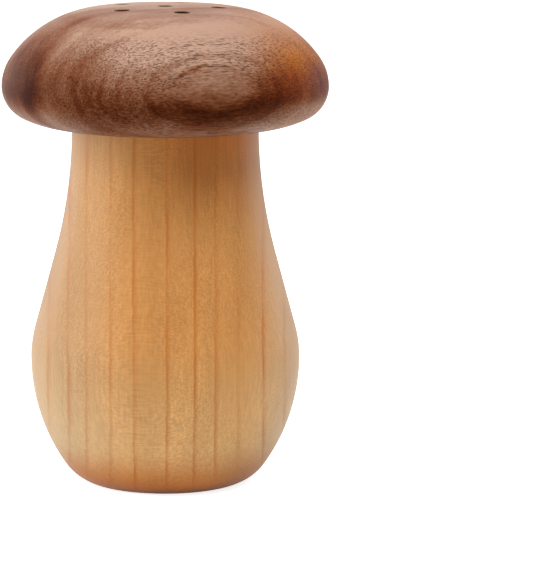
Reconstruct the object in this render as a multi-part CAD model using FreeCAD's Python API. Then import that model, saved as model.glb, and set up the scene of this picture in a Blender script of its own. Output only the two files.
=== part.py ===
"""Toothpick dispenser: a turned maple stem, a walnut cap and the silicone ring that grips it.

Millimetres, +Z up. The origin is the centre of the foot, on the surface the dispenser stands on.
Every piece is turned about Z. The cap plugs into the stem's well with a short tenon, and the
dispensing holes run straight down through its crown: one on the axis and the rest on a ring.
"""

import FreeCAD
import Part
import math
import os

# Overall form
HEIGHT = 88.3
CAP_RADIUS = 30.0
SEAM_Z = 66.5  # plane where the cap rests on the stem
BELLY_RADIUS = 24.8
NECK_RADIUS = 17.15

# Foot
FOOT_RADIUS = 13.0  # outer edge of the flat ring that it stands on
FOOT_HOLLOW_RADIUS = 10.0
FOOT_HOLLOW_DEPTH = 0.8

# The rounds of the turned sides, each a radius and the angle it turns through in degrees
FOOT_SLOPE = 13.0  # slope at which the stem's side leaves the foot
FOOT_ROUND = (9.4, 42.0)
BELLY_ROUND = (21.0, 15.2)  # from the widest place of the belly up to the straight flank
CROWN_ROUND = (187.5, 3.75)
SHOULDER_ROUND = (21.3, 51.7)
LIP_ROUND = (6.05, 64.5)  # from the widest place of the cap round into its underside

# Well, bored for 65 mm toothpicks
WELL_RADIUS = 14.2
WELL_FLOOR_Z = 13.0
WELL_CORNER = 1.0
DRILL_POINT_RADIUS = 1.5
DRILL_POINT_DEPTH = 0.9
MOUTH_CHAMFER = 0.5
RIM_BREAK = 0.25  # broken outer edge of the stem's rim, which draws the seam line

# Tenon and the hollow inside the cap
TENON_CLEARANCE = 0.3
TENON_RADIUS = WELL_RADIUS - TENON_CLEARANCE
TENON_LENGTH = 8.5
TENON_CHAMFER = 0.6
HOLLOW_RADIUS = 11.75
HOLLOW_CEILING_Z = HEIGHT - 6.0
HOLLOW_CORNER = 0.3
HOLLOW_CHAMFER = 1.0

# Groove and seal ring
GROOVE_DEPTH = 0.9
GROOVE_WIDTH = 3.4
GROOVE_Z = SEAM_Z - TENON_LENGTH / 2
RING_PLAY = 0.06  # running clearance between the ring and the wood
RING_BODY = 0.75  # thickness of the band between its ribs
RIB_HEIGHT = 0.3
RIB_WIDTH = 0.9
RIB_TIP = 0.3  # width of the flat on top of each rib

# Dispensing holes
HOLE_RADIUS = 1.4
HOLE_LIP = 0.25  # each hole's outer edge is broken by this much
RING_HOLE_COUNT = 5
HOLE_RING_RADIUS = 9.75

AXIS_POINT = FreeCAD.Vector(0, 0, 0)
UP = FreeCAD.Vector(0, 0, 1)


def at(radius, z):
    """A point of a turned outline."""
    return FreeCAD.Vector(radius, 0, z)


def lines(*points):
    """Straight edges from each point to the next."""
    return [Part.LineSegment(a, b).toShape() for a, b in zip(points, points[1:])]


def heading_vector(heading):
    """The unit vector of a heading in degrees: 0 points away from the axis, 90 straight up."""
    return at(math.cos(math.radians(heading)), math.sin(math.radians(heading)))


def bend(start, heading, radius, turn):
    """An arc that leaves start along heading and turns left, or right where turn is negative.

    Returns its edge, its end and the heading it ends on.
    """
    side = math.copysign(90, turn)
    centre = start + heading_vector(heading + side) * radius
    middle = centre + heading_vector(heading - side + turn / 2) * radius
    end = centre + heading_vector(heading - side + turn) * radius
    return Part.Arc(start, middle, end).toShape(), end, heading + turn


def turned(edges):
    """The solid that an outline sweeps about the axis."""
    outline = Part.Wire(Part.__sortEdges__(edges))
    return Part.Face(outline).revolve(AXIS_POINT, UP, 360)


def stem_side():
    """The stem's side from the foot over the belly and a straight flank up to the neck."""
    foot_round, knee, heading = bend(at(FOOT_RADIUS, 0), FOOT_SLOPE, *FOOT_ROUND)
    lower_turn = 90 - heading
    lower_radius = (BELLY_RADIUS - knee.x) / (1 - math.cos(math.radians(lower_turn)))
    lower_round, belly, heading = bend(knee, heading, lower_radius, lower_turn)
    belly_round, shoulder, heading = bend(belly, heading, *BELLY_ROUND)
    neck = at(NECK_RADIUS, SEAM_Z - RIM_BREAK)
    lean = math.radians(heading - 90)
    inward = shoulder.x - neck.x
    upward = neck.z - shoulder.z
    neck_radius = (upward * math.sin(lean) - inward * math.cos(lean)) / (1 - math.cos(lean))
    flank_length = (inward - neck_radius * (1 - math.cos(lean))) / math.sin(lean)
    flank_top = shoulder + heading_vector(heading) * flank_length
    neck_round, _, _ = bend(flank_top, heading, neck_radius, 90 - heading)
    return [foot_round, lower_round, belly_round] + lines(shoulder, flank_top) + [neck_round]


def stem_blank():
    """The outside of the stem: hollowed foot, side and rim, still without its well."""
    foot_centre = at(0, FOOT_HOLLOW_DEPTH)
    foot_inner = at(FOOT_HOLLOW_RADIUS, 0)
    rim_edge = [at(NECK_RADIUS, SEAM_Z - RIM_BREAK), at(NECK_RADIUS - RIM_BREAK, SEAM_Z)]
    return turned(
        lines(foot_centre, foot_inner, at(FOOT_RADIUS, 0))
        + stem_side()
        + lines(*rim_edge, at(0, SEAM_Z), foot_centre)
    )


def well():
    """The bore: a chamfered mouth, bevelled floor corner and the mark of the drill's point."""
    point = at(0, WELL_FLOOR_Z - DRILL_POINT_DEPTH)
    return turned(
        lines(
            point,
            at(0, SEAM_Z),
            at(WELL_RADIUS + MOUTH_CHAMFER, SEAM_Z),
            at(WELL_RADIUS, SEAM_Z - MOUTH_CHAMFER),
            at(WELL_RADIUS, WELL_FLOOR_Z + WELL_CORNER),
            at(WELL_RADIUS - WELL_CORNER, WELL_FLOOR_Z),
            at(DRILL_POINT_RADIUS, WELL_FLOOR_Z),
            point,
        )
    )


def stem():
    """The body of the dispenser, one piece of turned wood."""
    return stem_blank().cut(well())


def cap_side():
    """The cap's outside from the crown over the shoulder and rim to the flat seat.

    Returns its edges and the point where the seat begins.
    """
    edges = []
    point = at(0, HEIGHT)
    heading = 0
    for radius, turn in (CROWN_ROUND, SHOULDER_ROUND):
        edge, point, heading = bend(point, heading, radius, -turn)
        edges.append(edge)
    rim_radius = (CAP_RADIUS - point.x) / (1 + math.sin(math.radians(heading)))
    rim_round, rim, heading = bend(point, heading, rim_radius, -90 - heading)
    lip_round, lip, heading = bend(rim, heading, LIP_ROUND[0], -LIP_ROUND[1])
    seat_turn = 180 + heading
    seat_radius = (lip.z - SEAM_Z) / (1 - math.cos(math.radians(seat_turn)))
    seat_round, seat, _ = bend(lip, heading, seat_radius, -seat_turn)
    return edges + [rim_round, lip_round, seat_round], seat


def cap_blank():
    """The outside of the cap: crown, rolled rim, flat seat and tenon."""
    tenon_foot_z = SEAM_Z - TENON_LENGTH
    side, seat = cap_side()
    return turned(
        side
        + lines(
            seat,
            at(TENON_RADIUS, SEAM_Z),
            at(TENON_RADIUS, tenon_foot_z + TENON_CHAMFER),
            at(TENON_RADIUS - TENON_CHAMFER, tenon_foot_z),
            at(0, tenon_foot_z),
            at(0, HEIGHT),
        )
    )


def cap_hollow():
    """The space inside the cap, open at the foot of the tenon with a chamfer that guides the toothpicks."""
    foot_z = SEAM_Z - TENON_LENGTH
    return turned(
        lines(
            at(0, HOLLOW_CEILING_Z),
            at(0, foot_z),
            at(HOLLOW_RADIUS + HOLLOW_CHAMFER, foot_z),
            at(HOLLOW_RADIUS, foot_z + HOLLOW_CHAMFER),
            at(HOLLOW_RADIUS, HOLLOW_CEILING_Z - HOLLOW_CORNER),
            at(HOLLOW_RADIUS - HOLLOW_CORNER, HOLLOW_CEILING_Z),
            at(0, HOLLOW_CEILING_Z),
        )
    )


def ring_groove():
    """The square groove round the tenon."""
    floor_radius = TENON_RADIUS - GROOVE_DEPTH
    bottom = at(0, GROOVE_Z - GROOVE_WIDTH / 2)
    outside = Part.makeCylinder(TENON_RADIUS + 1, GROOVE_WIDTH, bottom, UP)
    return outside.cut(Part.makeCylinder(floor_radius, GROOVE_WIDTH, bottom, UP))


def hole_centres():
    """Where the dispensing holes stand: one on the axis, the rest evenly on a ring."""
    step = 2 * math.pi / RING_HOLE_COUNT
    ring = [
        FreeCAD.Vector(HOLE_RING_RADIUS * math.cos(i * step), HOLE_RING_RADIUS * math.sin(i * step), 0)
        for i in range(RING_HOLE_COUNT)
    ]
    return [AXIS_POINT] + ring


def drilled(solid):
    """The solid with every dispensing hole drilled up through its crown."""
    start = at(0, HOLLOW_CEILING_Z - 1)
    length = HEIGHT - HOLLOW_CEILING_Z + 2
    drills = [Part.makeCylinder(HOLE_RADIUS, length, centre + start, UP) for centre in hole_centres()]
    return solid.cut(drills)


def hole_lips(solid):
    """The edges where the dispensing holes come out of the crown."""
    lips = []
    for edge in solid.Edges:
        ends = edge.discretize(5)
        nearest = min(hole_centres(), key=lambda centre: math.dist(centre[:2], ends[0][:2]))
        on_wall = all(math.dist(nearest[:2], point[:2]) < 1.01 * HOLE_RADIUS for point in ends)
        if on_wall and min(point.z for point in ends) > HOLLOW_CEILING_Z + HOLE_LIP:
            lips.append(edge)
    return lips


def cap():
    """The cap, one piece of turned wood."""
    shell = drilled(cap_blank().cut(cap_hollow()).cut(ring_groove()))
    return shell.makeFillet(HOLE_LIP, hole_lips(shell))


def seal_ring():
    """The silicone ring: a band in the groove with two bevelled ribs that press on the well's wall."""
    inner = TENON_RADIUS - GROOVE_DEPTH + RING_PLAY
    outer = inner + RING_BODY
    half = GROOVE_WIDTH / 2 - RING_PLAY
    bevel = (RIB_WIDTH - RIB_TIP) / 2
    upper_half = [
        at(outer, half - RIB_WIDTH),
        at(outer + RIB_HEIGHT, half - RIB_WIDTH + bevel),
        at(outer + RIB_HEIGHT, half - bevel),
        at(outer, half),
        at(inner, half),
    ]
    lower_half = [at(point.x, -point.z) for point in reversed(upper_half)]
    corners = [point + at(0, GROOVE_Z) for point in lower_half + upper_half]
    return turned(lines(*corners, corners[0]))


def write(name, shape):
    """Write one piece to its own STEP file, and say how large it is."""
    shape.exportStep(os.path.join("parts", name + ".step"))
    box = shape.BoundBox
    print(f"{name}: valid {shape.isValid()}, solids {len(shape.Solids)}, volume {shape.Volume:.1f}")
    print(f"  x {box.XMin:.2f} {box.XMax:.2f}, z {box.ZMin:.2f} {box.ZMax:.2f}")


os.makedirs("parts", exist_ok=True)
for name, make in {"stem": stem, "cap": cap, "seal_ring": seal_ring}.items():
    write(name, make())
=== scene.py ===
"""Finishes, light and camera for a turned wooden toothpick dispenser.

The stem is honey maple with upright growth lines and curly flecks. The cap is figured walnut
whose growth rings close round an eye on its front. The silicone ring sits on the cap's tenon.
Lengths in the finishes are millimetres in the dispenser's own frame, Z up.
"""

import logging
import math
from dataclasses import dataclass
from enum import Enum
from functools import partial, reduce
from typing import Any, Optional, Sequence

import bmesh
import bpy
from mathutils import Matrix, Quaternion, Vector

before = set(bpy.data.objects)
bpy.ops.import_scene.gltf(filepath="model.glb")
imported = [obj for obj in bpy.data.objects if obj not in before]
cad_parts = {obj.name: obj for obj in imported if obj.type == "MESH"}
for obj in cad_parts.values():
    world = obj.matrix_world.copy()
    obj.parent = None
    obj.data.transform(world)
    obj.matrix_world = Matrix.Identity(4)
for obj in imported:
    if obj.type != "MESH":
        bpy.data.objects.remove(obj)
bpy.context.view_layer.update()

LOG = logging.getLogger("dispenser")
MILLIMETRE = 0.001

Socket = bpy.types.NodeSocket
Colour = tuple[float, float, float, float]
WHITE: Colour = (1.0, 1.0, 1.0, 1.0)


def shade(red: float, green: float, blue: float) -> Colour:
    """Turn a display colour into the linear one that a shader takes.

    Args:
        red: Red on a scale of 0 to 255.
        green: Green on the same scale.
        blue: Blue on the same scale.

    Returns:
        The linear colour with full alpha.
    """
    def linear(level: float) -> float:
        """Undo the display curve of one channel: a straight foot, and a power above it."""
        part = level / 255
        return part / 12.92 if part <= 0.04045 else ((part + 0.055) / 1.055) ** 2.4

    return linear(red), linear(green), linear(blue), 1.0


class Blend(Enum):
    """How one colour is laid over another."""

    OVER = "MIX"
    DARKEN = "MULTIPLY"


class Measure(Enum):
    """What a fade can follow."""

    ACROSS = "to the right of the axis"
    BACK = "behind the axis"
    HEIGHT = "above the foot"
    ALONG = "along the grain from the heart of the figure"
    RISE = "above that heart"
    DEPTH = "below the ring that the eye belongs to"


Measures = dict[Measure, Socket]


@dataclass(frozen=True)
class Fade:
    """An eased change from start to end, as something goes from low to high.

    With about set, it follows the distance from that place, to either side.
    """

    low: float
    high: float
    start: float = 0.0
    end: float = 1.0
    about: Optional[float] = None


@dataclass(frozen=True)
class Cloud:
    """Soft noise, by its swings in a millimetre along each axis.

    Layers says how many finer layers lie on top, and rough how strong each is beside the last.
    Reach is how wide the sway is of what it moves.
    """

    swings: tuple[float, float, float]
    layers: float = 2.0
    rough: float = 0.5
    reach: float = 1.0


class Patch:
    """A patch of the surface: fades that are multiplied."""

    def __init__(self, name: str, *fades: tuple[Measure, Fade]) -> None:
        """Name the patch and keep its fades, each with what it follows."""
        self.name = name
        self.fades = fades


class Wiring:
    """A shader node tree while it is being wired."""

    def __init__(self, tree: bpy.types.NodeTree) -> None:
        """Start with an empty tree."""
        self.tree = tree
        tree.nodes.clear()

    def node(self, kind: str, feeds: Optional[dict[Any, Any]] = None, **settings: Any) -> bpy.types.Node:
        """Add a node.

        Args:
            kind: The node's type name.
            feeds: What goes into its sockets, by name or number: a socket to link, or a value.
            **settings: The node's own settings.

        Returns:
            The new node.
        """
        made = self.tree.nodes.new(kind)
        for name, value in settings.items():
            setattr(made, name, value)
        for place, value in (feeds or {}).items():
            self.feed(made.inputs[place], value)
        return made

    def feed(self, socket: Socket, value: Any) -> None:
        """Fill an input.

        Args:
            socket: The input.
            value: Another node's output to link, or a plain value to set.
        """
        if isinstance(value, bpy.types.NodeSocket):
            self.tree.links.new(value, socket)
        else:
            socket.default_value = value

    def place(self, group: bpy.types.NodeTree, feeds: dict[str, Any]) -> bpy.types.Node:
        """Set a shared effect into this tree with its own values."""
        return self.node("ShaderNodeGroup", feeds, node_tree=group)

    def math(self, operation: str, *values: Any, clamp: bool = False) -> Socket:
        """Work out one number from others."""
        feeds = dict(enumerate(values))
        return self.node("ShaderNodeMath", feeds, operation=operation, use_clamp=clamp).outputs[0]

    def total(self, *values: Any) -> Socket:
        """Add numbers up."""
        return reduce(partial(self.math, "ADD"), values)

    def product(self, *values: Any) -> Socket:
        """Multiply numbers."""
        return reduce(partial(self.math, "MULTIPLY"), values)

    def vector(self, operation: str, *values: Any) -> bpy.types.Node:
        """Add a vector sum, product or measure."""
        return self.node("ShaderNodeVectorMath", dict(enumerate(values)), operation=operation)

    def parts(self, position: Any) -> tuple[Socket, Socket, Socket]:
        """Split a position into its X, Y and Z."""
        return tuple(self.node("ShaderNodeSeparateXYZ", {0: position}).outputs)

    def joined(self, across: Any, back: Any, height: Any) -> Socket:
        """Make a position from its X, Y and Z."""
        return self.node("ShaderNodeCombineXYZ", {0: across, 1: back, 2: height}).outputs[0]

    def stretched(self, position: Any, stretch: Sequence[float]) -> Socket:
        """Scale a position along each axis."""
        return self.vector("MULTIPLY", position, tuple(stretch)).outputs[0]

    def turned(self, position: Any, angles: Sequence[float]) -> Socket:
        """Turn a position about each axis."""
        return self.node("ShaderNodeMapping", {"Vector": position, "Rotation": tuple(angles)}).outputs[0]

    def length(self, position: Any) -> Socket:
        """Measure how far a position is from the origin."""
        return self.vector("LENGTH", position).outputs["Value"]

    def noise(self, position: Any, layers: float, rough: float = 0.5) -> Socket:
        """Read soft noise that swings about once in a unit: a value about one half."""
        feeds = {"Vector": position, "Scale": 1.0, "Detail": layers, "Roughness": rough}
        return self.node("ShaderNodeTexNoise", feeds).outputs[0]

    def cloud(self, position: Any, cloud: Cloud) -> Socket:
        """Read a cloud at a position."""
        return self.noise(self.stretched(position, cloud.swings), cloud.layers, cloud.rough)

    def sway(self, position: Any, cloud: Cloud) -> Socket:
        """Swing to either side of zero with a cloud, by its reach."""
        return self.product(self.math("SUBTRACT", self.cloud(position, cloud), 0.5), cloud.reach)

    def fade(self, value: Any, fade: Fade) -> Socket:
        """Ease a value.

        Args:
            value: What the fade follows.
            fade: The fade.

        Returns:
            The eased value.
        """
        if fade.about is not None:
            value = self.math("ABSOLUTE", self.math("SUBTRACT", value, fade.about))
        feeds = {"Value": value, "From Min": fade.low, "From Max": fade.high, "To Min": fade.start,
                 "To Max": fade.end}
        return self.node("ShaderNodeMapRange", feeds, interpolation_type="SMOOTHSTEP").outputs[0]

    def patch(self, measures: Measures, patch: Patch) -> Socket:
        """Multiply the fades of a patch.

        Args:
            measures: The measures at the place.
            patch: The patch.

        Returns:
            How much of the patch there is.
        """
        made = self.product(*(self.fade(measures[measure], fade) for measure, fade in patch.fades))
        made.node.label = patch.name
        return made

    def ramp(self, value: Any, stops: Sequence[tuple[float, Colour]]) -> Socket:
        """Colour a value.

        Args:
            value: What is coloured, from 0 to 1.
            stops: Places on that range, in order, with their colours.

        Returns:
            The colour, which goes straight from stop to stop.
        """
        made = self.node("ShaderNodeValToRGB", {0: value})
        band = made.color_ramp
        while len(band.elements) < len(stops):
            band.elements.new(1.0)
        for element, (place, colour) in zip(band.elements, stops):
            element.position = place
            element.color = colour
        return made.outputs[0]

    def levels(self, value: Any, stops: Sequence[tuple[float, float]], reach: float) -> Socket:
        """Go straight from level to level, as a value goes from 0 to the reach."""
        greys = [(place / reach, (level, level, level, 1.0)) for place, level in stops]
        return self.ramp(self.math("DIVIDE", value, reach), greys)

    def scaled(self, vector: Any, amount: Any) -> Socket:
        """Scale a colour or a position by one factor."""
        return self.node("ShaderNodeVectorMath", {0: vector, "Scale": amount}, operation="SCALE").outputs[0]

    def mix(self, amount: Any, under: Any, over: Any, how: Blend = Blend.OVER) -> Socket:
        """Lay one colour over another, by an amount from 0 to 1."""
        feeds = {0: amount, 6: under, 7: over}
        return self.node("ShaderNodeMix", feeds, data_type="RGBA", blend_type=how.value).outputs[2]


class Group:
    """The node group of a shared effect while it is being built."""

    def __init__(self, name: str, takes: dict[str, Optional[float]], gives: Sequence[str]) -> None:
        """Start the group.

        Args:
            name: The group's name.
            takes: Its inputs: numbers with their first values, and positions, which have none.
            gives: Its outputs, all numbers.
        """
        self.tree = bpy.data.node_groups.new(name, "ShaderNodeTree")
        self.wiring = Wiring(self.tree)
        for label, value in takes.items():
            kind = "NodeSocketVector" if value is None else "NodeSocketFloat"
            socket = self.tree.interface.new_socket(label, in_out="INPUT", socket_type=kind)
            if value is not None:
                socket.default_value = value
        for label in gives:
            self.tree.interface.new_socket(label, in_out="OUTPUT", socket_type="NodeSocketFloat")
        self.takes = self.wiring.node("NodeGroupInput").outputs
        self.gives = self.wiring.node("NodeGroupOutput").inputs

    def give(self, label: str, value: Socket) -> None:
        """Put a value out."""
        self.wiring.feed(self.gives[label], value)


@dataclass(frozen=True)
class Bore:
    """A bore, by its radius and the heights of its floor and its ceiling."""

    radius: float
    floor: float
    ceiling: float


class Effects:
    """The effects that both woods share, each a node group that is built once."""

    def __init__(self) -> None:
        """Build every group."""
        self._fibre = self._build_fibre()
        self._turning = self._build_turning()
        self._bored = self._build_bored()

    def fibre(self, wiring: Wiring, position: Socket, length: float, width: float) -> Socket:
        """Place fine fibre that runs along X of a position."""
        feeds = {"Position": position, "Length": length, "Width": width}
        return wiring.place(self._fibre, feeds).outputs["Fibre"]

    def turning(self, wiring: Wiring, position: Socket, pitch: float) -> tuple[Socket, Socket]:
        """Place turning marks round the axis: their rings, and the distance from the axis."""
        marks = wiring.place(self._turning, {"Position": position, "Pitch": pitch})
        return marks.outputs["Rings"], marks.outputs["Radius"]

    def bored(self, wiring: Wiring, away: Socket, height: Socket, bore: Bore) -> Socket:
        """Mark the surfaces inside a bore.

        Args:
            wiring: The material's wiring.
            away: The distance from the bore's axis.
            height: The height.
            bore: The bore.

        Returns:
            1 inside the bore and 0 elsewhere.
        """
        feeds = {"Away": away, "Height": height, "Wall": bore.radius, "Floor": bore.floor,
                 "Ceiling": bore.ceiling}
        return wiring.place(self._bored, feeds).outputs["Inside"]

    @staticmethod
    def _build_fibre() -> bpy.types.NodeTree:
        """Wire the fibre.

        Returns:
            The group.
        """
        group = Group("Wood fibre", {"Position": None, "Length": 20.0, "Width": 0.6}, ["Fibre"])
        wiring = group.wiring
        along = wiring.math("DIVIDE", 1.0, group.takes["Length"])
        across = wiring.math("DIVIDE", 1.0, group.takes["Width"])
        stretch = wiring.joined(along, across, across)
        position = wiring.vector("MULTIPLY", group.takes["Position"], stretch).outputs[0]
        group.give("Fibre", wiring.noise(position, layers=3.0, rough=0.6))
        return group.tree

    @staticmethod
    def _build_turning() -> bpy.types.NodeTree:
        """Wire the faint rings that turning and sanding leave.

        Returns:
            The group.
        """
        group = Group("Turning marks", {"Position": None, "Pitch": 0.4}, ["Rings", "Radius"])
        wiring = group.wiring
        across, back, height = wiring.parts(group.takes["Position"])
        radius = wiring.length(wiring.joined(across, back, 0.0))
        tight = wiring.math("DIVIDE", 1.0, group.takes["Pitch"])
        profile = wiring.scaled(wiring.joined(radius, height, 0.0), tight)
        group.give("Rings", wiring.noise(profile, layers=1.0))
        group.give("Radius", radius)
        return group.tree

    @staticmethod
    def _build_bored() -> bpy.types.NodeTree:
        """Wire the inside of a bore, told by the distance from its axis and the height.

        Returns:
            The group.
        """
        takes = {"Away": 0.0, "Wall": 10.0, "Height": 0.0, "Floor": 0.0, "Ceiling": 10.0}
        group = Group("Bored inside", takes, ["Inside"])
        wiring = group.wiring
        within = wiring.math("LESS_THAN", group.takes["Away"], group.takes["Wall"])
        above = wiring.math("GREATER_THAN", group.takes["Height"], group.takes["Floor"])
        below = wiring.math("LESS_THAN", group.takes["Height"], group.takes["Ceiling"])
        group.give("Inside", wiring.product(within, above, below))
        return group.tree


def new_material(name: str) -> tuple[bpy.types.Material, Wiring]:
    """Start a material.

    Args:
        name: Its name.

    Returns:
        The material and the wiring of its empty tree.
    """
    material = bpy.data.materials.new(name)
    material.use_nodes = True
    return material, Wiring(material.node_tree)


def piece_position(wiring: Wiring) -> Socket:
    """The place on the piece in millimetres."""
    place = wiring.node("ShaderNodeTexCoord").outputs["Object"]
    return wiring.stretched(place, (1 / MILLIMETRE,) * 3)


def mirrored_rays(wiring: Wiring, path: bpy.types.Node) -> Socket:
    """The rays that come by way of a glossy surface or through glass."""
    return wiring.math("MAXIMUM", path.outputs["Is Glossy Ray"], path.outputs["Is Transmission Ray"])


def finish_surface(wiring: Wiring, colour: Socket, rough: Socket, height: Socket, depth: float,
                   **plain: Any) -> None:
    """Close a material with a glossy surface.

    Args:
        wiring: The material's wiring.
        colour: Its base colour.
        rough: Its roughness.
        height: The relief that its normals follow.
        depth: How deep that relief is, in millimetres.
        **plain: Plain values for other sockets, with underscores for spaces.
    """
    bump = wiring.node("ShaderNodeBump", {"Height": height, "Distance": depth * MILLIMETRE, "Strength": 1.0})
    feeds = {"Base Color": colour, "Roughness": rough, "Normal": bump.outputs[0]}
    feeds.update({name.replace("_", " "): value for name, value in plain.items()})
    surface = wiring.node("ShaderNodeBsdfPrincipled", feeds)
    wiring.node("ShaderNodeOutputMaterial", {"Surface": surface.outputs[0]})


@dataclass(frozen=True)
class MapleFinish:
    """Honey maple: upright growth lines that are planes across X, curly flecks and fine fibre."""

    effects: Effects

    # The ground between the lines, with painted light and shade: painted floor bounce paler low down,
    # painted sheen paler to the sides, the cap's painted shadow deeper at the neck, and deeper at the foot.
    ground: Colour = shade(189, 131, 72)
    painted_floor_bounce_ground: Colour = shade(218, 171, 112)
    painted_cap_shadow_ground: Colour = shade(184, 106, 39)
    painted_side_sheen: Colour = shade(182, 142, 100)
    low_painted_side_sheen: Colour = shade(206, 177, 136)
    foot_ground: Colour = shade(184, 108, 36)
    # Painted floor bounce: paler low down, fading out with height.
    low_down: Fade = Fade(4.0, 34.0, 0.95, 0.0)
    painted_cap_shadow: Patch = Patch("painted shadow of the cap by the neck", (Measure.HEIGHT, Fade(46.0, 68.0)),
                           (Measure.ACROSS, Fade(-9.0, 8.0)))
    # Painted sheen: paler and less orange towards both sides.
    painted_sheen_left: Fade = Fade(-21.0, -3.0, 0.9, 0.0)
    painted_sheen_right: Fade = Fade(13.0, 23.0, 0.0, 0.8)
    by_foot: Fade = Fade(1.0, 10.5, 1.0, 0.0)
    foot_shade: Patch = Patch("shade by the foot", (Measure.HEIGHT, Fade(2.0, 16.0, 1.0, 0.0)),
                              (Measure.ACROSS, Fade(3.0, 16.0, 0.0, 0.25)))
    neck_light: Patch = Patch("light on the neck", (Measure.HEIGHT, Fade(48.0, 62.0)),
                              (Measure.ACROSS, Fade(-15.0, 2.0, 0.17, 0.03)))
    clouds: Cloud = Cloud((0.16, 0.08, 0.025))
    cloud_tone: Fade = Fade(0.3, 0.7, 0.92, 1.06)

    # Growth lines, each by its place along X and its strength: sharp on the left, soft on the right.
    growth_lines: tuple[tuple[float, float], ...] = (
        (-21.3, 0.35), (-17.7, 0.5), (-14.4, 0.35), (-10.0, 0.4), (-5.7, 0.65), (0.2, 0.6), (5.2, 0.75),
        (9.0, 0.5), (13.1, 0.3), (17.7, 0.65), (21.6, 0.45))
    line_colour: Colour = shade(170, 92, 26)
    line_sharp_side: float = 0.3
    line_soft_side: float = 0.9
    line_fall: float = 1.6
    slow_wander: Cloud = Cloud((0.25, 0.03, 0.06), reach=0.7)
    quick_wander: Cloud = Cloud((0.4, 0.4, 0.7), reach=0.42)
    line_patches: Cloud = Cloud((0.5, 0.2, 0.07))
    line_patchiness: Fade = Fade(0.3, 0.65, 0.45, 1.15)

    # Curly flecks: thin ribbons, by their length, thickness and height.
    fleck_size: tuple[float, float, float] = (4.5, 0.13, 0.34)
    fleck_turn: tuple[float, float, float] = (0.0, 0.0, math.radians(11))
    fleck_tone: Fade = Fade(0.3, 0.7, -0.13, 0.12)
    curl: Cloud = Cloud((0.12, 0.12, 0.05), layers=1.0)
    curl_strength: Fade = Fade(0.35, 0.65, 0.35, 1.0)

    # Upright fibre and turning marks.
    upright: tuple[float, float, float] = (0.0, math.pi / 2, 0.0)
    fibre_length: float = 22.0
    fibre_width: float = 0.45
    fibre_tone: Fade = Fade(0.25, 0.75, 0.9, 1.08)
    fibre_rough: Fade = Fade(0.3, 0.7, 0.4, 0.48)
    fibre_relief: float = 0.6
    turning_pitch: float = 0.35
    turning_relief: float = 0.25
    relief_depth: float = 0.03

    # The bare wood of the well.
    well: Bore = Bore(14.3, 11.0, 66.2)
    bare: Colour = shade(206, 172, 128)
    bare_share: float = 0.6
    bare_rough: float = 0.3

    # The oiled surface.
    gloss: Colour = (1.0, 0.85, 0.6, 1.0)
    specular: float = 0.32
    sheen: float = 0.06
    sheen_rough: float = 0.4

    def build(self) -> bpy.types.Material:
        """Wire the material.

        Returns:
            The material.
        """
        material, wiring = new_material("honey maple")
        position = piece_position(wiring)
        across, _, height = wiring.parts(position)
        measures = {Measure.ACROSS: across, Measure.HEIGHT: height}
        fibre = self.effects.fibre(
            wiring, wiring.turned(position, self.upright), self.fibre_length, self.fibre_width)
        rings, radius = self.effects.turning(wiring, position, self.turning_pitch)
        inside = self.effects.bored(wiring, radius, height, self.well)
        tone = wiring.product(wiring.fade(fibre, self.fibre_tone), self._flecks(wiring, position))
        colour = wiring.scaled(self._ground(wiring, position, measures), tone)
        colour = wiring.mix(self._lines(wiring, position, across), colour, self.line_colour)
        colour = wiring.mix(wiring.product(inside, self.bare_share), colour, self.bare)
        relief = wiring.total(
            wiring.product(fibre, self.fibre_relief), wiring.product(rings, self.turning_relief))
        rough = wiring.total(wiring.fade(fibre, self.fibre_rough), wiring.product(inside, self.bare_rough))
        finish_surface(wiring, colour, rough, relief, self.relief_depth, Specular_IOR_Level=self.specular,
                       Specular_Tint=self.gloss, Sheen_Weight=self.sheen, Sheen_Roughness=self.sheen_rough)
        return material

    def _ground(self, wiring: Wiring, position: Socket, measures: Measures) -> Socket:
        """Colour the wood between the lines, with painted floor bounce, sheen and shadow in it.

        Args:
            wiring: The material's wiring.
            position: The place on the piece.
            measures: The measures there.

        Returns:
            The colour.
        """
        across, height = measures[Measure.ACROSS], measures[Measure.HEIGHT]
        low = wiring.fade(height, self.low_down)
        # Painted shadow and orange bounce of the cap: deeper at the neck, most to the right.
        colour = wiring.mix(wiring.patch(measures, self.painted_cap_shadow), self.ground, self.painted_cap_shadow_ground)
        # Painted floor bounce, paler low down.
        colour = wiring.mix(low, colour, self.painted_floor_bounce_ground)
        # Painted sheen to both sides, paler still low down with the painted floor bounce.
        sides = wiring.total(wiring.fade(across, self.painted_sheen_left), wiring.fade(across, self.painted_sheen_right))
        colour = wiring.mix(sides, colour, wiring.mix(low, self.painted_side_sheen, self.low_painted_side_sheen))
        colour = wiring.mix(wiring.fade(height, self.by_foot), colour, self.foot_ground)
        shaded = wiring.math("SUBTRACT", 1.0, wiring.patch(measures, self.foot_shade))
        lit = wiring.math("ADD", 1.0, wiring.patch(measures, self.neck_light))
        cloudy = wiring.fade(wiring.cloud(position, self.clouds), self.cloud_tone)
        return wiring.scaled(colour, wiring.product(shaded, lit, cloudy))

    def _lines(self, wiring: Wiring, position: Socket, across: Socket) -> Socket:
        """Draw the growth lines, each a plane that wanders a little.

        Args:
            wiring: The material's wiring.
            position: The place on the piece.
            across: Its place along X.

        Returns:
            How strong the lines are there.
        """
        wandering = wiring.total(
            across, wiring.sway(position, self.slow_wander), wiring.sway(position, self.quick_wander))
        lines = [wiring.product(self._line(wiring, wandering, place), strength)
                 for place, strength in self.growth_lines]
        patchy = wiring.fade(wiring.cloud(position, self.line_patches), self.line_patchiness)
        return wiring.math("MULTIPLY", wiring.total(*lines), patchy, clamp=True)

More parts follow.
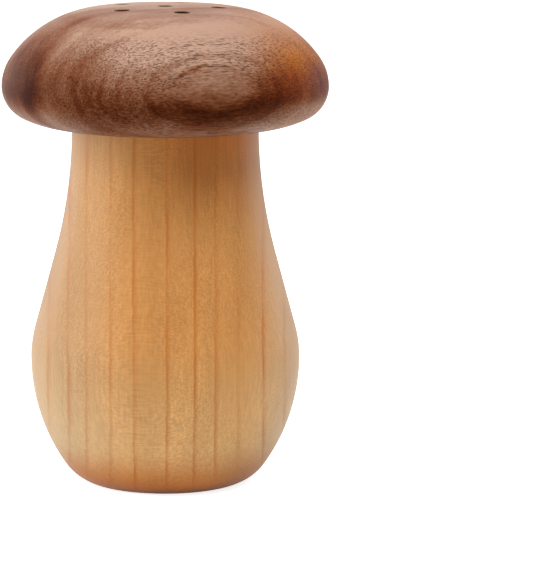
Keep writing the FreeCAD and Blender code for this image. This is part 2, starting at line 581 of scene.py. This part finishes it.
    def _line(self, wiring: Wiring, across: Socket, place: float) -> Socket:
        """Draw one growth line: a sharp edge on one side that fades away on the other.

        Args:
            wiring: The material's wiring.
            across: The wandering place along X.
            place: Where the line is.

        Returns:
            The line, from 0 to 1.
        """
        beyond = wiring.math("SUBTRACT", across, place)
        rise = wiring.math("ADD", 1.0, wiring.math("DIVIDE", beyond, self.line_sharp_side), clamp=True)
        fall = wiring.math("SUBTRACT", 1.0, wiring.math("DIVIDE", beyond, self.line_soft_side), clamp=True)
        return wiring.product(rise, wiring.math("POWER", fall, self.line_fall))

    def _flecks(self, wiring: Wiring, position: Socket) -> Socket:
        """Draw the curly flecks, which lie across the growth lines.

        Args:
            wiring: The material's wiring.
            position: The place on the piece.

        Returns:
            A factor about one.
        """
        turned = wiring.turned(position, self.fleck_turn)
        strokes = wiring.noise(wiring.stretched(turned, [1 / size for size in self.fleck_size]), layers=1.0)
        curl = wiring.fade(wiring.cloud(position, self.curl), self.curl_strength)
        return wiring.math("MULTIPLY_ADD", wiring.fade(strokes, self.fleck_tone), curl, 1.0)


@dataclass(frozen=True)
class WalnutFinish:
    """Figured walnut: barrel-shaped growth rings about a heart behind the cap, pores along the grain."""

    effects: Effects

    # The growth rings: long ovals about the heart. The eye is where the cap's front comes out of one.
    heart: Vector = Vector((-26.4, 78.3, 66.0))
    grain_turn: tuple[float, float, float] = (0.0, 0.0, math.radians(18.6))
    ring_stretch: tuple[float, float, float] = (0.4, 0.63, 1.0)
    eye_radius: float = 71.4
    wave: Cloud = Cloud((0.04, 0.08, 0.08), reach=3.0)
    ripple: Cloud = Cloud((0.12, 0.5, 0.5), reach=0.9)
    calm_by_eye: Fade = Fade(0.5, 6.0, 0.17, 1.0)

    # How dark the rings are, by their depth, and where they lean or are fainter.
    bands: tuple[tuple[float, float], ...] = (
        (0.0, 0.0), (1.25, 0.0), (1.4, 0.35), (1.6, 0.05), (2.7, 0.05), (3.0, 0.35), (3.3, 0.05),
        (5.6, 0.05), (6.3, 0.55), (6.8, 0.3), (7.6, 0.05), (10.5, 0.05), (11.8, 0.72), (14.0, 0.2),
        (17.0, 0.1), (18.5, 0.6), (20.0, 0.3), (25.0, 0.1), (27.0, 0.8), (29.0, 0.4), (35.0, 0.1),
        (37.0, 0.8), (39.0, 0.3), (46.0, 0.1), (49.0, 0.9), (52.0, 0.3))
    band_reach: float = 60.0
    band_depth: float = 0.3
    lean: Patch = Patch("lean over the crown", (Measure.RISE, Fade(14.0, 19.5, 0.0, 1.4)),
                        (Measure.DEPTH, Fade(7.0, 10.5, 1.0, 0.0)))
    faint_high_up: Patch = Patch("faint high up", (Measure.RISE, Fade(14.0, 19.0, 0.0, 0.5)),
                                 (Measure.DEPTH, Fade(7.5, 10.0)))
    faint_at_end: Fade = Fade(12.0, 18.0, 1.0, 0.4)

    # The broad tone, from 0 for dark to 1 for pale: the sum of these patches. Some are painted light: from
    # above, on the front of the crown, and floor bounce low down.
    tone_patches: tuple[Patch, ...] = (
        # Painted light from above: paler towards the top.
        Patch("painted light from above, paler with height", (Measure.HEIGHT, Fade(72.5, 89.0, 0.3, 0.97))),
        Patch("top of the crown", (Measure.HEIGHT, Fade(85.3, 88.0, 0.0, -0.05))),
        # Painted light: paler on the front of the crown.
        Patch("painted light on the front of the crown", (Measure.DEPTH, Fade(1.5, 10.0, 0.31, 0.0)),
              (Measure.HEIGHT, Fade(76.0, 84.0))),
        Patch("shade left on the crown", (Measure.ALONG, Fade(-21.5, -17.5)),
              (Measure.ALONG, Fade(-9.0, -2.0, -0.12, 0.0)), (Measure.HEIGHT, Fade(85.6, 86.2)),
              (Measure.HEIGHT, Fade(86.7, 87.3, 1.0, 0.15))),
        # Painted floor bounce: paler low down, most on the sides and the right end.
        Patch("painted floor bounce on the lower edge", (Measure.HEIGHT, Fade(66.5, 72.5, 0.32, 0.0))),
        Patch("painted floor bounce on the low sides", (Measure.ACROSS, Fade(8.0, 24.0, 0.0, 0.48, about=0.0)),
              (Measure.HEIGHT, Fade(69.0, 74.5, 1.0, 0.0))),
        Patch("painted floor bounce on the low end", (Measure.ALONG, Fade(14.0, 20.0, 0.0, 0.2)),
              (Measure.HEIGHT, Fade(69.0, 74.5, 1.0, 0.0))),
        Patch("pale end", (Measure.ALONG, Fade(13.0, 20.0, 0.0, 0.15))),
        Patch("darker middle", (Measure.ALONG, Fade(2.0, 18.0, -0.07, 0.0, about=1.0))),
        Patch("glow left of the eye", (Measure.ALONG, Fade(1.0, 8.0, 0.17, 0.0, about=-11.5)),
              (Measure.DEPTH, Fade(0.5, 4.5, 1.0, 0.0))),
        Patch("darker low on the left", (Measure.ALONG, Fade(-20.0, -15.0)),
              (Measure.ALONG, Fade(-13.0, -6.0, 1.0, 0.0)), (Measure.HEIGHT, Fade(68.0, 70.5)),
              (Measure.HEIGHT, Fade(72.5, 75.0, -0.13, 0.0))),
        Patch("dark right of the eye", (Measure.ALONG, Fade(4.5, 11.0, 0.0, -0.16)),
              (Measure.HEIGHT, Fade(71.0, 74.0)), (Measure.HEIGHT, Fade(76.8, 79.6, 1.0, 0.0))),
        Patch("pale eye", (Measure.DEPTH, Fade(0.1, 0.9, 0.06, 0.0))),
        Patch("upper half of the eye", (Measure.DEPTH, Fade(0.2, 0.8, 0.13, 0.0)),
              (Measure.HEIGHT, Fade(74.0, 76.5))),
        Patch("pale rings round the eye", (Measure.DEPTH, Fade(3.5, 6.5, 0.08, 0.0))),
        Patch("dark rings on the crown", (Measure.DEPTH, Fade(4.5, 6.0, 0.0, -0.12)),
              (Measure.DEPTH, Fade(11.0, 13.0, 1.0, 0.0)), (Measure.HEIGHT, Fade(84.0, 86.5)),
              (Measure.ALONG, Fade(2.0, 10.0, 1.0, 0.0))),
        Patch("dark outer rings", (Measure.DEPTH, Fade(9.5, 12.5, 0.0, -0.24)),
              (Measure.ALONG, Fade(13.0, 20.0, 1.0, 0.5)), (Measure.HEIGHT, Fade(85.0, 88.0, 1.0, 0.3))),
        Patch("paler wood beyond them", (Measure.DEPTH, Fade(15.0, 20.0, 0.0, 0.28))),
    )
    under_eye_rings: tuple[tuple[float, float], ...] = ((0.06, 0.0), (0.39, 1.0), (1.02, 0.503), (2.25, 0.0))
    under_eye_reach: float = 3.0
    under_eye: Patch = Patch("dark under the eye", (Measure.HEIGHT, Fade(72.3, 75.5, -0.37, 0.0)),
                             (Measure.ALONG, Fade(-23.0, -15.0, 0.2, 1.0)))

    # Fine tone: streaks that follow the rings, the fibre, soft clouds and grit.
    streaks: Cloud = Cloud((5.0, 0.05, 0.08), layers=3.0, rough=0.6)
    streak_tone: Fade = Fade(0.25, 0.75, -0.09, 0.09)
    streaks_off_eye: Fade = Fade(0.3, 1.5, 0.15, 1.0)
    clouds: Cloud = Cloud((0.08, 0.16, 0.16))
    cloud_tone: Fade = Fade(0.3, 0.7, -0.08, 0.08)
    grit: Cloud = Cloud((1.0, 3.0, 3.0), layers=1.0)
    grit_tone: Fade = Fade(0.3, 0.7, -0.07, 0.07)

    # The dark thread over the eye, with a paler strip above it.
    thread: Fade = Fade(0.02, 0.09, -0.34, 0.0, about=0.55)
    thread_right: Fade = Fade(-2.0, 4.0, 1.0, 0.3)
    thread_ripple: Cloud = Cloud((0.2, 0.4, 0.4), layers=1.0, reach=0.5)
    thread_breaks: Cloud = Cloud((0.5, 1.5, 1.5), layers=1.0)
    thread_strength: Fade = Fade(0.35, 0.6, 0.2, 1.0)
    strip: Fade = Fade(0.05, 0.3, 0.12, 0.0, about=0.85)
    over_eye: Fade = Fade(11.5, 13.0)

    # Colours by tone, the painted shade of the right end as a darker orange, and the pores.
    tones: tuple[tuple[float, Colour], ...] = (
        (0.0, shade(52, 16, 4)), (0.25, shade(90, 42, 18)), (0.5, shade(125, 78, 54)),
        (0.75, shade(147, 110, 90)), (1.0, shade(175, 140, 120)))
    painted_shade_orange: Colour = shade(255, 183, 64)
    # Painted shade: the right end darker and more orange, fading towards the back.
    painted_shade_end: Patch = Patch("painted shade on the right end", (Measure.ALONG, Fade(3.0, 18.0)),
                            (Measure.HEIGHT, Fade(79.0, 87.0, 1.0, 0.3)),
                            (Measure.HEIGHT, Fade(71.0, 75.0, 0.3, 1.0)),
                            (Measure.BACK, Fade(4.0, 22.0, 1.0, 0.4)))
    pore_colour: Colour = shade(62, 26, 12)
    pore_share: float = 0.72
    pore_spacing: float = 0.33
    pore_scatter: float = 0.85
    pore_length: float = 2.0
    pore_shift: float = 90.0
    pore_bend: Cloud = Cloud((0.12, 0.25, 0.25), layers=1.0, reach=1.2)
    pore_opening: Fade = Fade(0.38, 0.5)
    pore_width: Fade = Fade(0.0, 1.0, 0.14, 0.33)
    pore_edge: Fade = Fade(-0.05, 0.12)
    pore_crowd: Patch = Patch("crowd of pores", (Measure.DEPTH, Fade(0.1, 0.7, 0.5, 1.0)),
                              (Measure.DEPTH, Fade(5.0, 14.0, 1.0, 0.35)),
                              (Measure.RISE, Fade(17.2, 19.6, 1.0, 0.2)))
    fine_pores: Cloud = Cloud((1.1, 4.5, 4.5), layers=0.0)
    fine_pore_opening: Fade = Fade(0.56, 0.68, 0.0, 0.6)

    # Fibre and turning marks.
    fibre_length: float = 12.0
    fibre_width: float = 0.5
    fibre_tone: Fade = Fade(0.25, 0.75, -0.06, 0.06)
    fibre_rough: Fade = Fade(0.3, 0.7, 0.36, 0.44)
    fibre_relief: float = 0.4
    turning_pitch: float = 0.35
    turning_relief: float = 0.2
    relief_depth: float = 0.09

    # The bare wood of the hollow and the tenon, and painted shade inside the drill holes: one on the axis,
    # five round it.
    hollow: Bore = Bore(14.0, 0.0, 82.4)
    bare: Colour = shade(118, 84, 62)
    bare_share: float = 0.7
    bare_rough: float = 0.35
    hole: Bore = Bore(1.45, 82.4, 100.0)
    hole_count: int = 5
    hole_ring: float = 9.75
    painted_hole_shade: Colour = shade(46, 26, 18)
    painted_hole_shade_share: float = 0.9

    # The oiled surface.
    gloss: Colour = (1.0, 0.6, 0.3, 1.0)
    specular: float = 0.045

    def build(self) -> bpy.types.Material:
        """Wire the material.

        Returns:
            The material.
        """
        material, wiring = new_material("figured walnut")
        position = piece_position(wiring)
        feeds = {"Vector": position, "Location": self.heart, "Rotation": self.grain_turn}
        grain = wiring.node("ShaderNodeMapping", feeds, vector_type="TEXTURE").outputs[0]
        measures = self._measures(wiring, position, grain)
        height = measures[Measure.HEIGHT]
        fibre = self.effects.fibre(wiring, grain, self.fibre_length, self.fibre_width)
        rings, radius = self.effects.turning(wiring, position, self.turning_pitch)
        inside = self.effects.bored(wiring, radius, height, self.hollow)
        in_hole = self.effects.bored(wiring, self._from_hole(wiring, measures, radius), height, self.hole)
        pores = self._pores(wiring, grain, measures)
        tone = wiring.total(
            self._broad_tone(wiring, measures), self._fine_tone(wiring, grain, measures, fibre),
            self._vein(wiring, grain, measures), self._rings(wiring, measures))
        colour = wiring.ramp(tone, self.tones)
        # Painted shade on the right end, darkened towards orange.
        colour = wiring.mix(wiring.patch(measures, self.painted_shade_end), colour, self.painted_shade_orange, Blend.DARKEN)
        colour = wiring.mix(wiring.product(pores, self.pore_share), colour, self.pore_colour)
        colour = wiring.mix(wiring.product(inside, self.bare_share), colour, self.bare)
        # Painted shade inside the holes.
        colour = wiring.mix(wiring.product(in_hole, self.painted_hole_shade_share), colour, self.painted_hole_shade)
        ribbed = wiring.total(
            wiring.product(fibre, self.fibre_relief), wiring.product(rings, self.turning_relief))
        relief = wiring.math("SUBTRACT", ribbed, pores)
        rough = wiring.total(wiring.fade(fibre, self.fibre_rough), wiring.product(inside, self.bare_rough))
        finish_surface(wiring, colour, rough, relief, self.relief_depth, Specular_IOR_Level=self.specular,
                       Specular_Tint=self.gloss)
        return material

    def _measures(self, wiring: Wiring, position: Socket, grain: Socket) -> Measures:
        """Measure a place.

        Args:
            wiring: The material's wiring.
            position: The place on the piece.
            grain: The same place in the grain's frame.

        Returns:
            All its measures.
        """
        across, back, height = wiring.parts(position)
        along, _, rise = wiring.parts(grain)
        return {
            Measure.ACROSS: across, Measure.BACK: back, Measure.HEIGHT: height, Measure.ALONG: along,
            Measure.RISE: rise, Measure.DEPTH: self._depth(wiring, grain)}

    def _depth(self, wiring: Wiring, grain: Socket) -> Socket:
        """Measure how deep a place lies below the ring that the eye belongs to.

        Args:
            wiring: The material's wiring.
            grain: The place in the grain's frame.

        Returns:
            The depth, with the waves of the figure, which are calmer by the eye.
        """
        radius = wiring.length(wiring.stretched(grain, self.ring_stretch))
        plain = wiring.math("SUBTRACT", self.eye_radius, radius)
        shift = wiring.total(wiring.sway(grain, self.wave), wiring.sway(grain, self.ripple))
        return wiring.math("MULTIPLY_ADD", shift, wiring.fade(plain, self.calm_by_eye), plain)

    def _rings(self, wiring: Wiring, measures: Measures) -> Socket:
        """Draw the dark rings.

        Args:
            wiring: The material's wiring.
            measures: The measures at the place.

        Returns:
            What they add to the tone, 0 or less.
        """
        leaning = wiring.total(measures[Measure.DEPTH], wiring.patch(measures, self.lean))
        dark = wiring.levels(leaning, self.bands, self.band_reach)
        high_up = wiring.math("SUBTRACT", 1.0, wiring.patch(measures, self.faint_high_up))
        at_end = wiring.fade(measures[Measure.ALONG], self.faint_at_end)
        return wiring.product(dark, high_up, at_end, -self.band_depth)

    def _broad_tone(self, wiring: Wiring, measures: Measures) -> Socket:
        """Add up the broad patches, painted light among them, and the dark crescent under the eye.

        Args:
            wiring: The material's wiring.
            measures: The measures at the place.

        Returns:
            The tone without its detail.
        """
        crescent = wiring.levels(measures[Measure.DEPTH], self.under_eye_rings, self.under_eye_reach)
        under_eye = wiring.product(crescent, wiring.patch(measures, self.under_eye))
        return wiring.total(under_eye, *(wiring.patch(measures, patch) for patch in self.tone_patches))

    def _fine_tone(self, wiring: Wiring, grain: Socket, measures: Measures, fibre: Socket) -> Socket:
        """Add up the streaks, fibre, clouds and grit.

        Args:
            wiring: The material's wiring.
            grain: The place in the grain's frame.
            measures: The measures there.
            fibre: The fine fibre.

        Returns:
            What they add to the tone.
        """
        depth = measures[Measure.DEPTH]
        root = wiring.math("SQRT", wiring.math("MAXIMUM", depth, 0.0))
        ringed = wiring.joined(root, measures[Measure.ALONG], measures[Measure.RISE])
        streaks = wiring.product(wiring.fade(wiring.cloud(ringed, self.streaks), self.streak_tone),
                                 wiring.fade(depth, self.streaks_off_eye))
        return wiring.total(
            streaks, wiring.fade(fibre, self.fibre_tone),
            wiring.fade(wiring.cloud(grain, self.clouds), self.cloud_tone),
            wiring.fade(wiring.cloud(grain, self.grit), self.grit_tone))

    def _vein(self, wiring: Wiring, grain: Socket, measures: Measures) -> Socket:
        """Draw the thin dark thread that follows the eye's upper edge, and the paler strip above it.

        Args:
            wiring: The material's wiring.
            grain: The place in the grain's frame.
            measures: The measures there.

        Returns:
            What they add to the tone.
        """
        level = wiring.total(measures[Measure.DEPTH], wiring.sway(grain, self.thread_ripple))
        thread = wiring.product(
            wiring.fade(level, self.thread),
            wiring.fade(wiring.cloud(grain, self.thread_breaks), self.thread_strength),
            wiring.fade(measures[Measure.ALONG], self.thread_right))
        above = wiring.fade(measures[Measure.RISE], self.over_eye)
        return wiring.product(wiring.total(thread, wiring.fade(level, self.strip)), above)

    def _pores(self, wiring: Wiring, grain: Socket, measures: Measures) -> Socket:
        """Draw open pores: fine tubes along the grain that come and go, and finer ones between them.

        Args:
            wiring: The material's wiring.
            grain: The place in the grain's frame.
            measures: The measures there.

        Returns:
            How open the wood is there, from 0 to 1.
        """
        along, side, rise = wiring.parts(grain)
        bend = wiring.product(wiring.cloud(grain, self.pore_bend), self.pore_bend.reach)
        bent = wiring.joined(wiring.total(side, bend), wiring.total(rise, bend), 0.0)
        feeds = {"Vector": wiring.scaled(bent, 1 / self.pore_spacing), "Scale": 1.0,
                 "Randomness": self.pore_scatter}
        tube = wiring.node("ShaderNodeTexVoronoi", feeds, voronoi_dimensions="2D")
        luck = wiring.node("ShaderNodeSeparateColor", {0: tube.outputs["Color"]}).outputs[0]
        run = wiring.total(
            wiring.math("DIVIDE", along, self.pore_length), wiring.product(luck, self.pore_shift))
        come_and_go = wiring.node(
            "ShaderNodeTexNoise", {"W": run, "Scale": 1.0, "Detail": 0.0}, noise_dimensions="1D").outputs[0]
        crowd = wiring.patch(measures, self.pore_crowd)
        size = wiring.product(
            crowd, wiring.fade(luck, self.pore_width), wiring.fade(come_and_go, self.pore_opening))
        edge = wiring.math("SUBTRACT", size, tube.outputs["Distance"])
        fine = wiring.fade(wiring.cloud(grain, self.fine_pores), self.fine_pore_opening)
        return wiring.math("MAXIMUM", wiring.fade(edge, self.pore_edge), wiring.product(fine, crowd))

    def _from_hole(self, wiring: Wiring, measures: Measures, radius: Socket) -> Socket:
        """Measure how far a place is from the axis of the nearest hole.

        Args:
            wiring: The material's wiring.
            measures: The measures at the place.
            radius: Its distance from the piece's own axis, where the middle hole is.

        Returns:
            The distance.
        """
        heading = wiring.math("ARCTAN2", measures[Measure.BACK], measures[Measure.ACROSS])
        turn = wiring.math("COSINE", wiring.math("PINGPONG", heading, math.pi / self.hole_count))
        square = wiring.product(radius, radius)
        cross = wiring.product(radius, turn, -2 * self.hole_ring)
        to_ring = wiring.total(square, cross, self.hole_ring ** 2)
        return wiring.math("SQRT", wiring.math("MAXIMUM", wiring.math("MINIMUM", square, to_ring), 0.0))


@dataclass(frozen=True)
class SiliconeFinish:
    """Milky translucent silicone with a fine speck. Light goes in by its reach, in metres."""

    tint: Colour = shade(226, 226, 220)
    speck_tint: Colour = shade(220, 220, 214)
    speck: Cloud = Cloud((0.9, 0.9, 0.9))
    speck_share: Fade = Fade(0.35, 0.65)
    speck_rough: Fade = Fade(0.3, 0.7, 0.38, 0.5)
    relief_depth: float = 0.004
    milkiness: float = 0.6
    light_reach: tuple[float, float, float] = (0.0012, 0.0012, 0.0011)

    def build(self) -> bpy.types.Material:
        """Wire the material.

        Returns:
            The material.
        """
        material, wiring = new_material("milky silicone")
        speck = wiring.cloud(piece_position(wiring), self.speck)
        colour = wiring.mix(wiring.fade(speck, self.speck_share), self.tint, self.speck_tint)
        finish_surface(wiring, colour, wiring.fade(speck, self.speck_rough), speck, self.relief_depth,
                       Subsurface_Weight=self.milkiness, Subsurface_Radius=self.light_reach,
                       Subsurface_Scale=1.0)
        return material


@dataclass(frozen=True)
class FloorFinish:
    """A white floor that keeps the shadow and fades into the white surroundings.

    Its lift follows the distance from the dispenser in metres.
    """

    paint: Colour = (0.8, 0.8, 0.8, 1.0)
    lift: Fade = Fade(0.1, 0.5, 0.85, 1.0)
    mirrored_lift: float = 0.35

    def build(self) -> bpy.types.Material:
        """Wire the material.

        Returns:
            The material.
        """
        material, wiring = new_material("white floor")
        path = wiring.node("ShaderNodeLightPath")
        away = wiring.length(wiring.node("ShaderNodeTexCoord").outputs["Object"])
        seen = wiring.product(path.outputs["Is Camera Ray"], wiring.fade(away, self.lift))
        mirrored = wiring.product(mirrored_rays(wiring, path), self.mirrored_lift)
        plain = wiring.node("ShaderNodeBsdfDiffuse", {"Color": self.paint})
        glow = wiring.node("ShaderNodeEmission", {"Color": WHITE, "Strength": wiring.total(seen, mirrored)})
        both = wiring.node("ShaderNodeAddShader", {0: plain.outputs[0], 1: glow.outputs[0]})
        wiring.node("ShaderNodeOutputMaterial", {"Surface": both.outputs[0]})
        return material


@dataclass(frozen=True)
class TurnedPiece:
    """A turned piece of the frame that keeps its own shape and gets a finish."""

    node: str

    def dress(self, material: bpy.types.Material) -> bpy.types.Object:
        """Put a finish on the whole piece.

        Args:
            material: The finish.

        Returns:
            The dressed piece.
        """
        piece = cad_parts[self.node]
        for slot in piece.material_slots:
            slot.material = material
        return piece


def direction(azimuth: float, elevation: float) -> Vector:
    """The way from the middle to a viewer, azimuth 0 in front and 90 on the right, in degrees."""
    turn, rise = math.radians(azimuth), math.radians(elevation)
    return Vector((math.sin(turn) * math.cos(rise), -math.cos(turn) * math.cos(rise), math.sin(rise)))


@dataclass(frozen=True)
class SoftBox:
    """One soft square lamp that looks at the middle of the dispenser, in metres and watts."""

    name: str
    azimuth: float
    elevation: float
    power: float
    distance: float = 0.8
    size: float = 0.45

    def hang(self, target: Vector) -> None:
        """Hang the lamp.

        Args:
            target: What it looks at.
        """
        lamp = bpy.data.lights.new(self.name, "AREA")
        lamp.shape = "SQUARE"
        lamp.size = self.size
        lamp.energy = self.power
        piece = bpy.data.objects.new(self.name, lamp)
        outward = direction(self.azimuth, self.elevation)
        piece.location = target + outward * self.distance
        piece.rotation_mode = "QUATERNION"
        piece.rotation_quaternion = outward.to_track_quat("Z", "Y")
        bpy.context.scene.collection.objects.link(piece)


@dataclass(frozen=True)
class Studio:
    """The floor, the lamps, the surroundings and the camera, in metres."""

    floor_radius: float = 4.0
    floor_corners: int = 64
    target: Vector = Vector((0, 0, 0.04413))
    camera_distance: float = 0.863
    camera_elevation: float = 8.49
    camera_range: tuple[float, float] = (0.01, 20.0)
    sensor_width: float = 36.0
    focal_pixels: float = 4682.0
    picture: tuple[int, int] = (533, 579)
    target_pixel: tuple[float, float] = (165.4, 244.8)
    sky_light: float = 0.07
    lamps: tuple[SoftBox, ...] = (
        SoftBox("low left box", azimuth=-80, elevation=8, power=2.2),
        SoftBox("high left box", azimuth=-80, elevation=34, power=2.2),
        SoftBox("front box", azimuth=-35, elevation=50, power=2.6),
        SoftBox("right box", azimuth=58, elevation=58, power=4.9),
        SoftBox("top box", azimuth=0, elevation=88, power=0.8),
        SoftBox("back right box", azimuth=128, elevation=8, power=0.9),
        SoftBox("back left box", azimuth=-132, elevation=8, power=1.0),
    )

    def build(self) -> None:
        """Set everything up."""
        self._floor()
        self._surroundings()
        for lamp in self.lamps:
            lamp.hang(self.target)
        self._camera()
        bpy.context.scene.view_settings.view_transform = "Standard"

    def _floor(self) -> None:
        """Lay the floor."""
        mesh = bpy.data.meshes.new("floor")
        shape = bmesh.new()
        bmesh.ops.create_circle(shape, cap_ends=True, segments=self.floor_corners, radius=self.floor_radius)
        shape.to_mesh(mesh)
        shape.free()
        floor = bpy.data.objects.new("floor", mesh)
        floor.data.materials.append(FloorFinish().build())
        bpy.context.scene.collection.objects.link(floor)

    def _surroundings(self) -> None:
        """Light the room evenly, and show it as plain white."""
        world = bpy.data.worlds.new("surroundings")
        world.use_nodes = True
        wiring = Wiring(world.node_tree)
        path = wiring.node("ShaderNodeLightPath")
        seen = wiring.math("MAXIMUM", path.outputs["Is Camera Ray"], mirrored_rays(wiring, path))
        light = wiring.node("ShaderNodeBackground", {"Color": WHITE, "Strength": self.sky_light})
        shown = wiring.node("ShaderNodeBackground", {"Color": WHITE, "Strength": 1.0})
        both = wiring.node("ShaderNodeMixShader", {0: seen, 1: light.outputs[0], 2: shown.outputs[0]})
        wiring.node("ShaderNodeOutputWorld", {"Surface": both.outputs[0]})
        bpy.context.scene.world = world

    def _camera(self) -> None:
        """Place the camera so that the target falls on its pixel and the dispenser's axis stays upright."""
        data = bpy.data.cameras.new("camera")
        data.sensor_width = self.sensor_width
        data.lens = self.focal_pixels / max(self.picture) * self.sensor_width
        data.clip_start, data.clip_end = self.camera_range
        camera = bpy.data.objects.new("camera", data)
        outward = direction(0, self.camera_elevation)
        camera.location = self.target + outward * self.camera_distance
        across = self.target_pixel[0] - self.picture[0] / 2
        down = self.target_pixel[1] - self.picture[1] / 2
        pan = Quaternion((0, 1, 0), math.atan2(across, self.focal_pixels))
        tilt = Quaternion((1, 0, 0), math.atan2(down, math.hypot(self.focal_pixels, across)))
        camera.rotation_mode = "QUATERNION"
        camera.rotation_quaternion = outward.to_track_quat("Z", "Y") @ tilt @ pan
        bpy.context.scene.collection.objects.link(camera)
        bpy.context.scene.camera = camera


def main() -> None:
    """Build the studio and dress each piece."""
    logging.basicConfig(level=logging.INFO, format="%(name)s: %(message)s")
    Studio().build()
    effects = Effects()
    finishes = {
        "stem": MapleFinish(effects).build(),
        "cap": WalnutFinish(effects).build(),
        "seal_ring": SiliconeFinish().build(),
    }
    for node, material in finishes.items():
        piece = TurnedPiece(node).dress(material)
        LOG.info("dressed %s with %s", piece.name, material.name)


if __name__ == "__main__":
    main()
